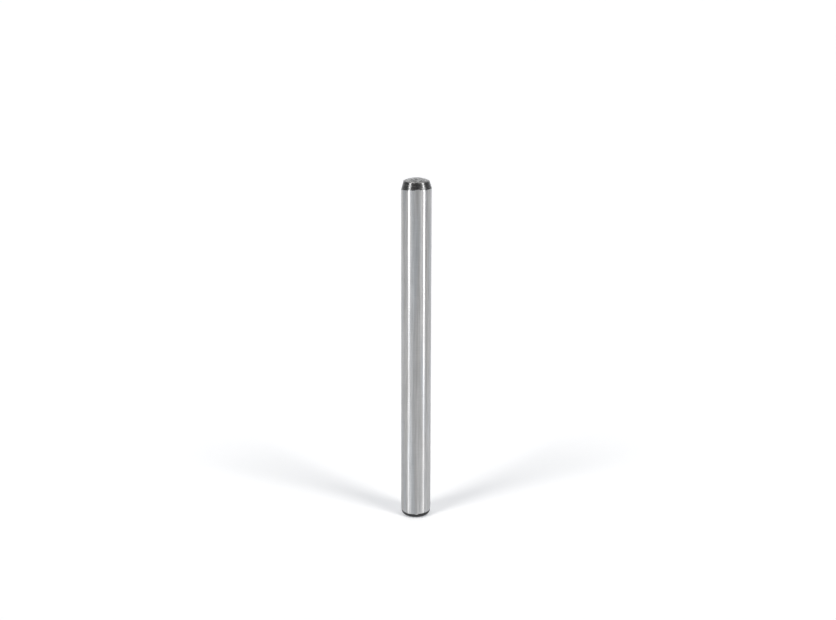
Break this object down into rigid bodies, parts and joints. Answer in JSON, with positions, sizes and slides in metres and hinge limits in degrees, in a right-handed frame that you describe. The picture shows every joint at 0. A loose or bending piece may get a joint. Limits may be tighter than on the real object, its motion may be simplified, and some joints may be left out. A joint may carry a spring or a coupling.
{
  "type": "dowel pin",
  "caption": "Straight ground steel cylinder with a slender tapered, crowned leading end and a round-cornered flat foot, pressed into a reamed hole to locate parts.",
  "frame": {"origin": "centre of the foot's flat face, on the pin's axis", "axes": "+Z along the pin's axis, from the foot to the crowned leading end"},
  "size_m": [0.006, 0.006, 0.07],
  "materials": {
    "ground_steel": "hardened steel, ground bright on the shank, with a thin dark heat-treatment oxide left on the turned chamfer and the foot's corner and a matt grey crown"
  },
  "bodies": {
    "root": {"dowel_pin": "ground_steel"}
  },
  "joints": []
}
